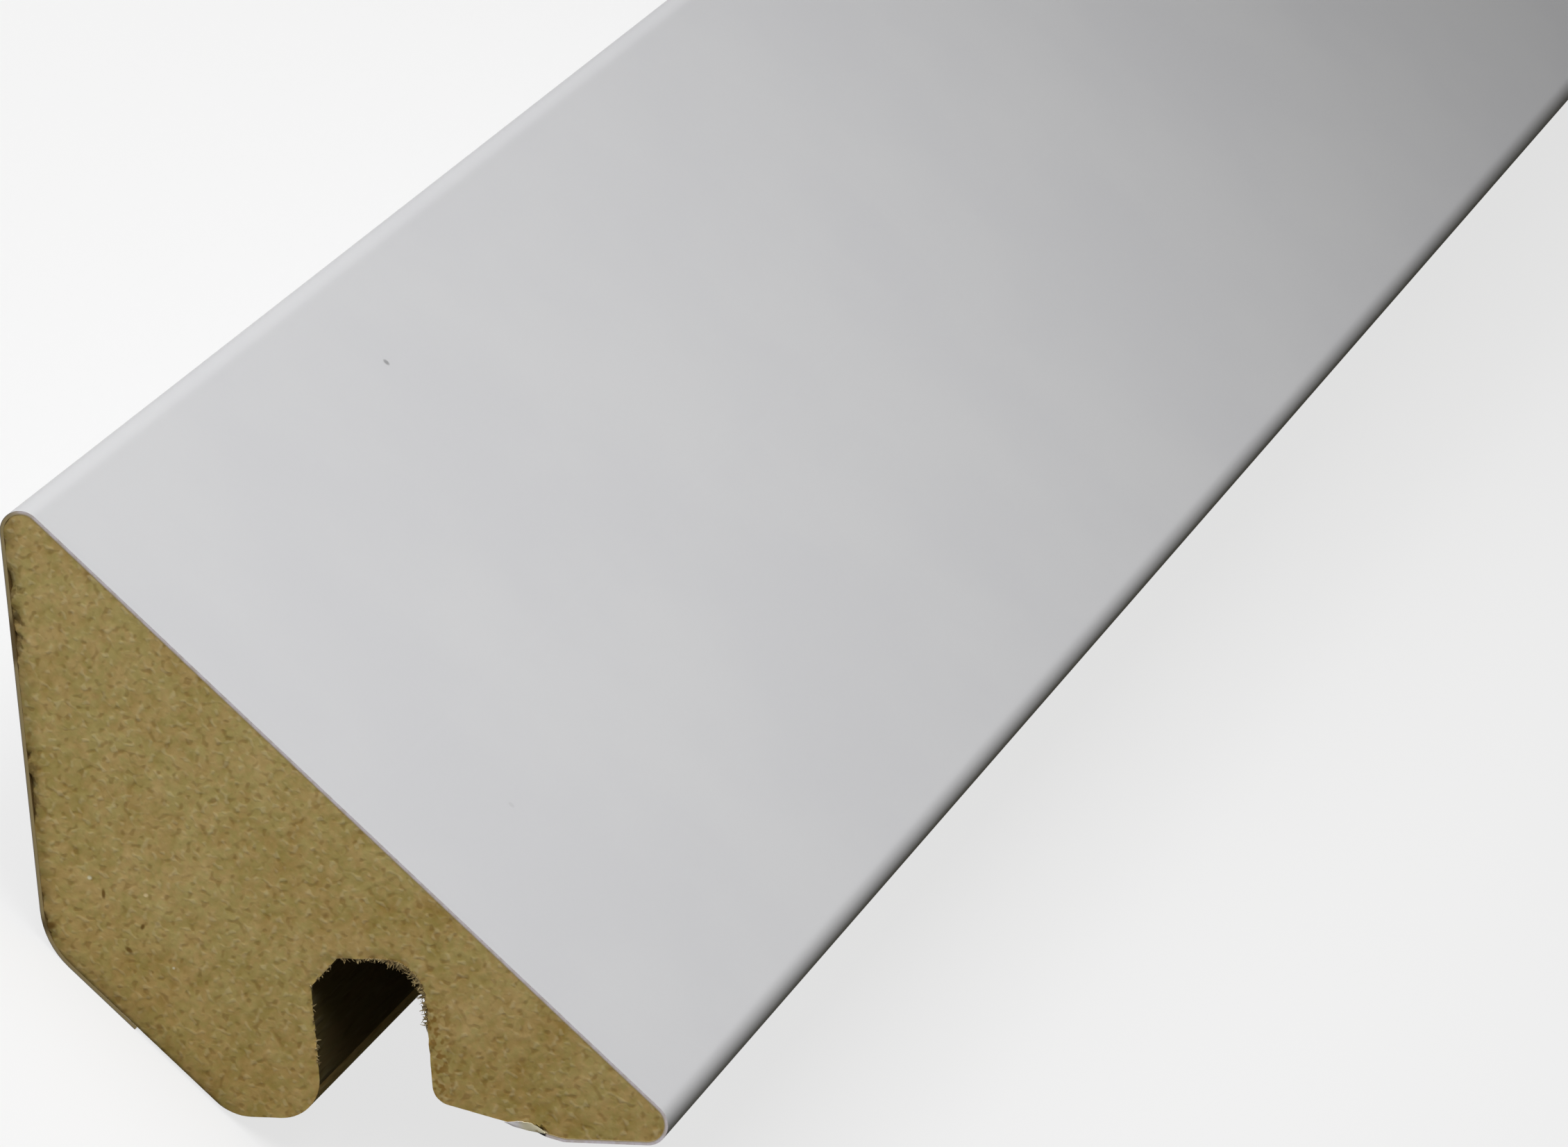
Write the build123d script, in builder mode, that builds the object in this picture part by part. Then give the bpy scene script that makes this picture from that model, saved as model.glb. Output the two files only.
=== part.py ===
"""Cornice moulding sold by the length: a machined MDF core with a thin white foil wrapped round it.

The section is drawn with u running out along the grooved side and v up along the plain side, both
from the line where the wall and the ceiling of a room would meet behind the moulding. It is placed
so that the moulding lies on its back slope, show face up and level, with its length along X.
"""

import os
from math import cos, radians, sin, sqrt, tan

from build123d import *

# Driving sizes in millimetres and degrees
LENGTH = 2400.0  # a length the moulding is sold in
LEG = 40.0  # reach along the wall and along the ceiling, over the foil
CORE_THICKNESS = 20.8  # planed board, from its back slope to its face
FOIL_THICKNESS = 0.25  # foil together with its glue
TIP_RADIUS = 1.45  # both thin tips, over the foil
BACK_CORNER_RADIUS = 5.0  # core, between the plain side and the back slope

# Foot of the section beside the groove
HEEL_RECESS = 0.9  # heel stands this far behind the plane of the grooved side
HEEL_WIDTH = 6.1  # from the back slope to the groove, before the edges are rounded
HEEL_RADIUS = 3.2  # edge towards the back slope
HEEL_LIP_RADIUS = 2.8  # edge towards the groove

# Groove for the fixing clips
GROOVE_WIDTH = 7.4
GROOVE_DEPTH = 11.5  # from the plane of the grooved side
GROOVE_CHAMFER = 1.9  # inner corner on the heel's side
GROOVE_RADIUS = 2.4  # inner corner on the toe's side

# Toe, the only flat of the grooved side that reaches its plane
TOE_WIDTH = 6.8  # from the end of the leg to the start of the relief
TOE_EDGE_RADIUS = 1.0  # bend from the toe into the relief, on the core
TOE_LIP_RADIUS = 1.2  # edge of the relief at the groove
RELIEF_ANGLE = 14.5  # the relief falls away from the toe towards the groove

# Free edges of the foil
FOIL_ON_RELIEF = 3.9  # measured from the toe
FOIL_ON_BACK = 7.6  # measured from the plain side, before the corner is rounded

# Sizes worked out from these, where u + v is constant along the face and along the back slope
root_two = sqrt(2)
face_sum = LEG + root_two * (TIP_RADIUS - FOIL_THICKNESS)
back_sum = face_sum - root_two * CORE_THICKNESS
relief = radians(RELIEF_ANGLE)
groove_near = back_sum - HEEL_RECESS + HEEL_WIDTH
groove_far = groove_near + GROOVE_WIDTH
toe_start = LEG - TOE_WIDTH
rest_height = FOIL_THICKNESS - back_sum / root_two

# Corners of the core as (u, v), before any of them is rounded
top_tip = (FOIL_THICKNESS, face_sum - FOIL_THICKNESS)
back_corner = (FOIL_THICKNESS, back_sum - FOIL_THICKNESS)
heel = (back_sum - HEEL_RECESS, HEEL_RECESS)
heel_lip = (groove_near, HEEL_RECESS)
toe_lip = (groove_far, FOIL_THICKNESS + (toe_start - groove_far) * tan(relief))
toe_edge = (toe_start, FOIL_THICKNESS)
toe_tip = (face_sum - FOIL_THICKNESS, FOIL_THICKNESS)
groove_near_corner = (groove_near, GROOVE_DEPTH)
groove_far_corner = (groove_far, GROOVE_DEPTH)

# Ends of the foil on the core
foil_back_end = (back_corner[0] + FOIL_ON_BACK / root_two, back_corner[1] - FOIL_ON_BACK / root_two)
foil_relief_end = (toe_start - FOIL_ON_RELIEF * cos(relief), FOIL_THICKNESS + FOIL_ON_RELIEF * sin(relief))

# The section lies across X, turned 45 degrees so that the back slope is level
section_plane = Plane(origin=(0, 0, rest_height), x_dir=(0, 1, 1), z_dir=(1, 0, 0))

# The foil's path from the back slope round the plain side, the face and the toe into the relief
wrap_corners = [foil_back_end, back_corner, top_tip, toe_tip, toe_edge, foil_relief_end]
core_tip_radius = TIP_RADIUS - FOIL_THICKNESS
wrap_radii = [BACK_CORNER_RADIUS, core_tip_radius, core_tip_radius, TOE_EDGE_RADIUS]

# Core: wrapped outline closed by the machined back, then the groove's corners and lips
with BuildPart() as core:
    with BuildSketch(section_plane) as core_section:
        with BuildLine():
            FilletPolyline(*wrap_corners, radius=wrap_radii)
            Polyline(
                foil_relief_end,
                toe_lip,
                groove_far_corner,
                groove_near_corner,
                heel_lip,
                heel,
                foil_back_end,
            )
        make_face()
        fillet(core_section.vertices().sort_by_distance(heel)[0], HEEL_RADIUS)
        fillet(core_section.vertices().sort_by_distance(heel_lip)[0], HEEL_LIP_RADIUS)
        fillet(core_section.vertices().sort_by_distance(toe_lip)[0], TOE_LIP_RADIUS)
        fillet(core_section.vertices().sort_by_distance(groove_far_corner)[0], GROOVE_RADIUS)
        chamfer(core_section.vertices().sort_by_distance(groove_near_corner)[0], GROOVE_CHAMFER)
    extrude(amount=LENGTH / 2, both=True)
core.part.label = "mdf_core"

# Foil: the same path, given its thickness on the outside of the core
with BuildPart() as foil:
    with BuildSketch(section_plane):
        with BuildLine():
            FilletPolyline(*wrap_corners, radius=wrap_radii)
            offset(amount=FOIL_THICKNESS, side=Side.RIGHT)
        make_face()
    extrude(amount=LENGTH / 2, both=True)
foil.part.label = "foil_wrap"

os.makedirs("parts", exist_ok=True)
export_step(core.part, "parts/mdf_core.step")
export_step(foil.part, "parts/foil_wrap.step")
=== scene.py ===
# %% [markdown]
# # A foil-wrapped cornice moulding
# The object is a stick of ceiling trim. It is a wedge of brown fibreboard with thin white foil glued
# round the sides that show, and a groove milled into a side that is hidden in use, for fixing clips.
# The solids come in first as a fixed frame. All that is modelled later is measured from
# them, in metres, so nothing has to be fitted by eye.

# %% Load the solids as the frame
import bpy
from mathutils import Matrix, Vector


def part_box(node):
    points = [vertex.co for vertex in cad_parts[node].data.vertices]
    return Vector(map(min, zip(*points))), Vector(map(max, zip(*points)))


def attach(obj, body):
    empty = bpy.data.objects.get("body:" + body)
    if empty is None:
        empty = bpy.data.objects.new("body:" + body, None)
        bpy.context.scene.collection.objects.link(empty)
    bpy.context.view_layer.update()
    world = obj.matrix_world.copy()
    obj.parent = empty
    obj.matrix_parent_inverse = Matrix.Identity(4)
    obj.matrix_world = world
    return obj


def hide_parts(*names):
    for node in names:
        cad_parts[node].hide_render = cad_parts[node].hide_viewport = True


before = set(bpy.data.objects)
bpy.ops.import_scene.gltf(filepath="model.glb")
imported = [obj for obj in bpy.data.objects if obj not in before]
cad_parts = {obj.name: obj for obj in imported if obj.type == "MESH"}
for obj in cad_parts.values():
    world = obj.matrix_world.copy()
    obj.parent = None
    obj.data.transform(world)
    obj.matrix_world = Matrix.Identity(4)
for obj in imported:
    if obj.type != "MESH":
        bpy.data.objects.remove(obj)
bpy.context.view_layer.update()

# %% [markdown]
# ## The section in numbers
# A moulding is a drawing pushed along a line, so the drawing is nearly all there is to measure. It
# is easiest in the two legs of the corner that the stick fills: u runs out along the grooved side
# and v runs up along the plain side. The stick lies on its back slope, so the drawing is turned by
# 45 degrees to get Y and Z. The length, the foil and the height of the back come from the solids.

# %% Sizes of the section
from math import atan2, ceil, copysign, cos, radians, sin, sqrt, tan

import bpy
from mathutils import Quaternion, Vector

MM = 0.001
LEG = 40.0 * MM
TIP_RADIUS = 1.45 * MM
BACK_CORNER_RADIUS = 5.0 * MM
HEEL_RECESS = 0.9 * MM
HEEL_WIDTH = 6.1 * MM
HEEL_RADIUS = 3.2 * MM
HEEL_LIP_RADIUS = 2.8 * MM
GROOVE_WIDTH = 7.4 * MM
GROOVE_DEPTH = 11.5 * MM
GROOVE_CHAMFER = 1.9 * MM
GROOVE_RADIUS = 2.4 * MM
TOE_WIDTH = 6.8 * MM
TOE_EDGE_RADIUS = 1.0 * MM
TOE_LIP_RADIUS = 1.2 * MM
RELIEF_ANGLE = radians(14.5)
FOIL_ON_RELIEF = 3.9 * MM
FOIL_ON_BACK = 7.6 * MM

core_low, core_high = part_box("mdf_core")
foil_low, foil_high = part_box("foil_wrap")
near_end = foil_high.x
far_end = foil_low.x
foil_thickness = core_low.z - foil_low.z
core_thickness = core_high.z - core_low.z
core_tip_radius = TIP_RADIUS - foil_thickness
print("length:", near_end - far_end, "core:", core_thickness, "foil:", foil_thickness)

# %% Corners of the section
face_sum = LEG + sqrt(2) * core_tip_radius
back_sum = face_sum - sqrt(2) * core_thickness
corner_height = core_low.z - back_sum / sqrt(2)
groove_near = back_sum - HEEL_RECESS + HEEL_WIDTH
groove_far = groove_near + GROOVE_WIDTH
toe_start = LEG - TOE_WIDTH
relief_run = toe_start - groove_far


def on_section(u, v):
    """Y and Z of a point u out along the grooved side and v up along the plain side."""
    return Vector(((u - v) / sqrt(2), (u + v) / sqrt(2) + corner_height))


def legs_of(point):
    """The u and v of a point of the stick."""
    height = point[2] - corner_height
    return (height + point[1]) / sqrt(2), (height - point[1]) / sqrt(2)


back_corner = on_section(foil_thickness, back_sum - foil_thickness)
top_tip = on_section(foil_thickness, face_sum - foil_thickness)
toe_tip = on_section(face_sum - foil_thickness, foil_thickness)
toe_edge = on_section(toe_start, foil_thickness)
toe_lip = on_section(groove_far, foil_thickness + relief_run * tan(RELIEF_ANGLE))
heel = on_section(back_sum - HEEL_RECESS, HEEL_RECESS)
heel_lip = on_section(groove_near, HEEL_RECESS)
foil_back_end = back_corner + Vector((FOIL_ON_BACK, 0.0))
relief_way = (toe_lip - toe_edge).normalized()
foil_relief_end = toe_edge + relief_way * FOIL_ON_RELIEF
print("top tip:", top_tip[:], "toe tip:", toe_tip[:])

# %% [markdown]
# ## The camera
# The photograph looks down on the sawn end from close by, through a long lens, with the camera
# rolled so that the stick runs up to the right. The place, the aim and the roll were found by
# matching corners of the section and both long edges with the picture. Colours are shown plainly,
# so that a white stays a white.

# %% Camera
PHOTO_WIDTH = 2259
FOCAL_PIXELS = 13000
CAMERA_PLACE = Vector((1.687238, 0.016304, 0.279576))
CAMERA_AIM = Vector((1.1314, 0.00858, 0.0213))
CAMERA_ROLL = radians(43.0)
SENSOR_WIDTH = 36.0
NEAREST_SEEN = 0.01

lens = bpy.data.cameras.new("photo_camera")
lens.sensor_width = SENSOR_WIDTH
lens.lens = SENSOR_WIDTH * FOCAL_PIXELS / PHOTO_WIDTH
lens.clip_start = NEAREST_SEEN
camera = bpy.data.objects.new("photo_camera", lens)
bpy.context.scene.collection.objects.link(camera)
camera.location = CAMERA_PLACE
camera.rotation_mode = "QUATERNION"
level_look = (CAMERA_AIM - CAMERA_PLACE).to_track_quat("-Z", "Y")
camera.rotation_quaternion = level_look @ Quaternion((0.0, 0.0, 1.0), CAMERA_ROLL)
bpy.context.scene.camera = camera
bpy.context.scene.view_settings.view_transform = "Standard"
print("lens:", lens.lens)

# %% [markdown]
# ## Writing materials with few words
# A node is made in three moves: add it, set its options, and fill its sockets with a number or with
# a wire. One small helper does all three, and a few more use it, so the finishes below read like a
# list of layers.

# %% Helpers for nodes


def put(tree, kind, feeds=None, **options):
    """Adds a node, sets its options, and fills its sockets with values or with other outputs."""
    made = tree.nodes.new(kind)
    for option, value in options.items():
        setattr(made, option, value)
    for name, value in (feeds or {}).items():
        if isinstance(value, bpy.types.NodeSocket):
            tree.links.new(value, made.inputs[name])
        else:
            made.inputs[name].default_value = value
    return made


def sums(tree, operation, first, second=0.0, clamp=False):
    """One Math node, as its output."""
    feeds = {0: first, 1: second}
    return put(tree, "ShaderNodeMath", feeds, operation=operation, use_clamp=clamp).outputs[0]


def times(tree, *factors):
    """The product of some values, as an output."""
    total = factors[0]
    for factor in factors[1:]:
        total = sums(tree, "MULTIPLY", total, factor)
    return total


def ramp_between(tree, value, low, high, at_low=0.0, at_high=1.0):
    """A smooth step of a value, as an output."""
    feeds = {"Value": value, "From Min": low, "From Max": high, "To Min": at_low, "To Max": at_high}
    return put(tree, "ShaderNodeMapRange", feeds, interpolation_type="SMOOTHSTEP").outputs["Result"]


def blended(tree, share, first, second):
    """A mix of two colours, as an output."""
    return put(tree, "ShaderNodeMix", {0: share, 6: first, 7: second}, data_type="RGBA").outputs[2]


def new_material(name):
    """An empty material, and its node tree."""
    made = bpy.data.materials.new(name)
    made.use_nodes = True
    made.node_tree.nodes.clear()
    return made, made.node_tree


def object_place(tree):
    """A place on the object in metres, as an output."""
    return put(tree, "ShaderNodeTexCoord").outputs["Object"]


def close_material(tree, feeds):
    """Ends a material with one shader, fed with values and outputs."""
    shader = put(tree, "ShaderNodeBsdfPrincipled", feeds)
    put(tree, "ShaderNodeOutputMaterial", {"Surface": shader.outputs[0]})


print("helpers ready")

# %% [markdown]
# ## Floor and light
# A plain pale floor and soft light belong to a studio picture. The light comes from the side of the
# thin upper tip, so that tip shines and the toe on the other side falls into shade. The camera sees
# one even floor. Before the near end and beside its groove the floor acts like a dark card, which
# throws little light back up, because the groove and the shaded edge are dark on the real one.

# %% Floor
WHITE = (1.0, 1.0, 1.0, 1.0)
FLOOR_SIZE = 160.0
FLOOR_SEEN = (0.20, 0.20, 0.20, 1.0)
FLOOR_PALENESS = 0.74
FLOOR_BOUNCE = (0.80, 0.80, 0.80, 1.0)
FLOOR_ROUGHNESS = 0.9
FLOOR_GLOSS = 0.1
END_CARD = (0.26, 0.26, 0.26, 1.0)
GROOVE_CARD = (0.095, 0.080, 0.040, 1.0)
CARD_FROM = 0.70
CARD_FULL = 0.90
CARD_FADE = 30.0 * MM

bpy.ops.mesh.primitive_plane_add(size=FLOOR_SIZE, location=(0.0, 0.0, 0.0))
floor = bpy.context.active_object
floor.name = "floor"
floor_paint, tree = new_material("pale_floor")
seen = put(tree, "ShaderNodeLightPath").outputs["Is Camera Ray"]
axes = put(tree, "ShaderNodeSeparateXYZ", {0: object_place(tree)})
near = ramp_between(tree, axes.outputs["X"], CARD_FROM, CARD_FULL)
before_end = ramp_between(tree, axes.outputs["X"], near_end - CARD_FADE, near_end)
beside_groove = ramp_between(tree, axes.outputs["Y"], -CARD_FADE, 0.0)
bounce = blended(tree, times(tree, near, beside_groove), FLOOR_BOUNCE, GROOVE_CARD)
bounce = blended(tree, before_end, bounce, END_CARD)
close_material(
    tree,
    {
        "Base Color": blended(tree, seen, bounce, FLOOR_SEEN),
        "Roughness": FLOOR_ROUGHNESS,
        "Specular IOR Level": FLOOR_GLOSS,
        "Emission Color": WHITE,
        "Emission Strength": times(tree, seen, FLOOR_PALENESS),
    },
)
floor.data.materials.append(floor_paint)
print("floor:", FLOOR_SIZE)

# %% Backdrop and lamps
AMBIENT = 0.30
SHADED_AMBIENT = 0.0
SHADE_COLOUR = (1.0, 0.90, 0.50, 1.0)
DIMMING = (-0.9, 0.9)  # across the sky, from the plain side to the grooved one
WARMING = (-0.1, 0.7)
BACKDROP = 0.93
SUN_STRENGTH = 1.0
SUN_FROM = Vector((0.56, -0.58, 0.59))
SUN_SOFTNESS = radians(25.0)
LAMP_WIDTH = 0.16
LAMPS = (  # name, place of the middle, length, power, width of the beam
    ("near_lamp", Vector((1.24, -0.09, 0.27)), 0.46, 0.228, radians(85.0)),
    ("long_lamp", Vector((-0.35, -0.09, 0.27)), 2.2, 0.88, radians(80.0)),
    ("groove_fill", Vector((-0.42, 0.36, 0.09)), 1.75, 0.5, radians(70.0)),
)

studio = bpy.data.worlds.new("studio")
bpy.context.scene.world = studio
studio.use_nodes = True
tree = studio.node_tree
tree.nodes.clear()
seen = put(tree, "ShaderNodeLightPath").outputs["Is Camera Ray"]
look = put(tree, "ShaderNodeTexCoord").outputs["Generated"]
sideways = put(tree, "ShaderNodeSeparateXYZ", {0: look}).outputs["Y"]
ambient = ramp_between(tree, sideways, *DIMMING, AMBIENT, SHADED_AMBIENT)
strength = put(tree, "ShaderNodeMix", {0: seen, 2: ambient, 3: BACKDROP}).outputs[0]
warmth = sums(tree, "SUBTRACT", ramp_between(tree, sideways, *WARMING), seen, clamp=True)
ambient_colour = blended(tree, warmth, WHITE, SHADE_COLOUR)
glow = put(tree, "ShaderNodeBackground", {"Color": ambient_colour, "Strength": strength})
put(tree, "ShaderNodeOutputWorld", {"Surface": glow.outputs[0]})


def hang_light(name, kind, place, towards, strength):
    """Adds a light that shines from one place towards another."""
    light = bpy.data.lights.new(name, kind)
    light.energy = strength
    holder = bpy.data.objects.new(name, light)
    bpy.context.scene.collection.objects.link(holder)
    holder.location = place
    holder.rotation_mode = "QUATERNION"
    holder.rotation_quaternion = (towards - place).to_track_quat("-Z", "Y")
    holder.visible_camera = False
    return light


sun = hang_light("window_light", "SUN", SUN_FROM, Vector(), SUN_STRENGTH)
sun.angle = SUN_SOFTNESS
for name, place, length, power, beam in LAMPS:
    aim = Vector((place.x, 0.0, core_high.z))
    lamp = hang_light(name, "AREA", place, aim, power)
    lamp.shape = "RECTANGLE"
    lamp.size = length
    lamp.size_y = LAMP_WIDTH
    lamp.spread = beam
print("lamps:", len(LAMPS))

# %% [markdown]
# ## The look of fibreboard
# The board is wood ground to fibres, glued and pressed. Cut across, it is an even ochre brown with
# soft clumps under a millimetre wide, dark pits where fibres were torn out, and pale flecks where
# one lies loose. Cut and milled faces share this, so it is one node group with a stretch of its own
# for each face. It gives masks, and each material decides on the colours.

# %% The fibre group
CLUMPS = ((0.09, 1.5), (0.4, 0.9), (1.0, 1.0), (2.0, 0.65), (3.6, 0.2))  # how many per mm, how strong
WISPS_PER_MM = 1.7
WISP_SHARE = 0.12
CRUMBS_PER_MM = 2.2
FLECKS_PER_MM = 2.4
PITS_PER_MM = 0.62
SMALLEST_DOT = 0.5  # share of the largest
DOT_CORE = 0.1  # share of a dot that is full
SURE_DOTS = 0.3  # share of the dots that are full

fibre_group = bpy.data.node_groups.new("board_fibres", "ShaderNodeTree")
fibre_group.interface.new_socket("Place", in_out="INPUT", socket_type="NodeSocketVector")
fibre_group.interface.new_socket("Stretch", in_out="INPUT", socket_type="NodeSocketVector")
for name in ("Tone", "Hue", "Pits", "Flecks", "Height"):
    fibre_group.interface.new_socket(name, in_out="OUTPUT", socket_type="NodeSocketFloat")
way_in = put(fibre_group, "NodeGroupInput")
feeds = {0: way_in.outputs["Place"], 1: way_in.outputs["Stretch"]}
in_mm = put(fibre_group, "ShaderNodeVectorMath", feeds, operation="MULTIPLY").outputs[0]


def noise(tree, place, scale, detail=2.0, roughness=0.55, distortion=0.0):
    """One Noise texture, as its grey output."""
    feeds = {"Vector": place, "Scale": scale, "Detail": detail}
    feeds |= {"Roughness": roughness, "Distortion": distortion}
    return put(tree, "ShaderNodeTexNoise", feeds).outputs["Fac"]


def scattered(tree, place, scale, size, share):
    """Soft dots in a share of the cells of a Voronoi texture, as an output."""
    cells = put(tree, "ShaderNodeTexVoronoi", {"Vector": place, "Scale": scale})
    chance = put(tree, "ShaderNodeSeparateColor", {0: cells.outputs["Color"]})
    reach = ramp_between(tree, chance.outputs[1], 0.0, 1.0, size * SMALLEST_DOT, size)
    nearness = sums(tree, "DIVIDE", cells.outputs["Distance"], reach)
    dot = ramp_between(tree, nearness, DOT_CORE, 1.0, 1.0, 0.0)
    chosen = ramp_between(tree, chance.outputs[0], 1.0 - share, 1.0 - share * SURE_DOTS)
    return times(tree, dot, chosen)


def turned(tree, place, angle, lengths):
    """The place turned about X, with a texture then drawn out along the turned axes."""
    feeds = {"Vector": place, "Rotation": (angle, 0.0, 0.0), "Scale": lengths}
    return put(tree, "ShaderNodeMapping", feeds, vector_type="TEXTURE").outputs[0]


def add_layer(tree, total, layer, middle, share):
    """Adds a grey layer to a running total, measured from its middle tone."""
    centred = sums(tree, "SUBTRACT", layer, middle)
    return sums(tree, "ADD", total, times(tree, centred, share))


print("group:", fibre_group.name)

# %% Layers of the fibre group
MIDDLE_TONE = 0.5
CLUMP_LOOK = (1.0, 0.5, 0.3)  # detail, roughness and distortion
WISPS = (  # way they lie, and how they are drawn out
    (radians(38.0), (1.0, 2.2, 0.8)),
    (radians(-40.0), (1.0, 2.0, 0.8)),
)
WISP_TONE = 0.55
PIT_LIE = (radians(70.0), (1.0, 1.1, 0.95))
PIT_SIZE = 0.26
PIT_SHARE = 0.4
CRUMB_TONES = (0.55, 0.80)
CRUMB_DEPTH = 0.8
FLECK_LIE = (radians(15.0), (1.0, 1.15, 0.9))
FLECK_TONES = (0.55, 0.82)
HUES = ((2.6, 0.8), (0.9, 1.6), (0.16, 0.8))  # how many per mm, how strong
FLECK_RISE = 0.35
PIT_FALL = 0.45

tree = fibre_group
tone = 0.0
for per_mm, share in CLUMPS:
    clumps = noise(tree, in_mm, per_mm, *CLUMP_LOOK)
    tone = add_layer(tree, tone, clumps, MIDDLE_TONE, share)
wisps = 0.0
for lie in WISPS:
    lying = noise(tree, turned(tree, in_mm, *lie), WISPS_PER_MM, 1.0)
    wisps = sums(tree, "MAXIMUM", wisps, lying)
tone = add_layer(tree, tone, wisps, WISP_TONE, WISP_SHARE)
dark_place = turned(tree, in_mm, *PIT_LIE)
crumbs = ramp_between(tree, noise(tree, dark_place, CRUMBS_PER_MM, 0.0), *CRUMB_TONES)
pits = scattered(tree, dark_place, PITS_PER_MM, PIT_SIZE, PIT_SHARE)
pits = sums(tree, "MAXIMUM", pits, times(tree, crumbs, CRUMB_DEPTH))
light_place = turned(tree, in_mm, *FLECK_LIE)
flecks = ramp_between(tree, noise(tree, light_place, FLECKS_PER_MM, 0.0), *FLECK_TONES)
hue = MIDDLE_TONE
for per_mm, share in HUES:
    hue = add_layer(tree, hue, noise(tree, in_mm, per_mm), MIDDLE_TONE, share)
raised = sums(tree, "ADD", tone, times(tree, flecks, FLECK_RISE))
height = sums(tree, "SUBTRACT", raised, times(tree, pits, PIT_FALL))
masks = {"Tone": tone, "Hue": hue, "Pits": pits, "Flecks": flecks, "Height": height}
put(tree, "NodeGroupOutput", masks)
print("nodes in the group:", len(tree.nodes))

# %% [markdown]
# ## Finishes of the board
# The sawn ends are matt and show the fibres fully. The milled back and relief have the same board,
# but a cutter ran along them, so the fibres are drawn out lengthwise and lie smoother. The walls of
# the groove lie in deep shade and look nearly black, so their board is darkened as painted shade.
# One function makes all three finishes.

# %% Milled board
BOARD_DARK = (0.378, 0.242, 0.034, 1.0)
BOARD_LIGHT = (0.853, 0.659, 0.288, 1.0)
OLIVE_TINT = (0.945, 1.0, 0.955, 1.0)
BROWN_TINT = (1.055, 1.0, 1.040, 1.0)
PIT_COLOUR = (0.27, 0.130, 0.020, 1.0)
PIT_SHADE = 0.48
FLECK_COLOUR = (0.87, 0.74, 0.42, 1.0)
FLECK_LIGHT = 0.34
HUE_RANGE = (0.2, 0.8)
BOARD_ROUGHNESS = 0.88
BOARD_GLOSS = 0.15
BUMP_STRENGTH = 0.6
MM_PER_METRE = 1000.0
# Stretch, lightness, contrast and height of the relief
MILLED = ((220.0, MM_PER_METRE, MM_PER_METRE), 0.94, 0.26, 0.05 * MM)
# The groove's walls: the low lightness is painted shade of the deep groove.
GROOVE_SHADED = ((160.0, MM_PER_METRE, MM_PER_METRE), 0.23, 0.26, 0.08 * MM)


def scaled(colour, factor):
    """A colour made lighter or darker."""
    return (*[channel * factor for channel in colour[:3]], 1.0)


def tinted(tree, operation, first, second):
    """Two colours, or a colour and a number, put together by a Vector Math node."""
    other = 3 if operation == "SCALE" else 1
    return put(tree, "ShaderNodeVectorMath", {0: first, other: second}, operation=operation).outputs[0]


def board_material(name, stretch, lightness, contrast, relief_height, wear_and_shade=None):
    """A fibreboard finish from the fibre group, with its own stretch and contrast."""
    made, tree = new_material(name)
    place = object_place(tree)
    feeds = {"Place": place, "Stretch": stretch}
    fibres = put(tree, "ShaderNodeGroup", feeds, node_tree=fibre_group)
    tone = add_layer(tree, MIDDLE_TONE, fibres.outputs["Tone"], 0.0, contrast)
    colour = blended(tree, tone, scaled(BOARD_DARK, lightness), scaled(BOARD_LIGHT, lightness))
    hue = ramp_between(tree, fibres.outputs["Hue"], *HUE_RANGE)
    colour = tinted(tree, "MULTIPLY", colour, blended(tree, hue, OLIVE_TINT, BROWN_TINT))
    pit_share = times(tree, fibres.outputs["Pits"], PIT_SHADE)
    colour = blended(tree, pit_share, colour, scaled(PIT_COLOUR, lightness))
    fleck_share = times(tree, fibres.outputs["Flecks"], FLECK_LIGHT)
    colour = blended(tree, fleck_share, colour, scaled(FLECK_COLOUR, lightness))
    if wear_and_shade:
        colour = wear_and_shade(tree, place, colour)
    feeds = {"Height": fibres.outputs["Height"], "Strength": BUMP_STRENGTH, "Distance": relief_height}
    bump = put(tree, "ShaderNodeBump", feeds).outputs[0]
    feeds = {"Base Color": colour, "Roughness": BOARD_ROUGHNESS}
    close_material(tree, feeds | {"Specular IOR Level": BOARD_GLOSS, "Normal": bump})
    return made


milled_board = board_material("milled_board", *MILLED)
groove_shaded_board = board_material("groove_shaded_board", *GROOVE_SHADED)
print("milled finishes:", milled_board.name, groove_shaded_board.name)
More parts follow.
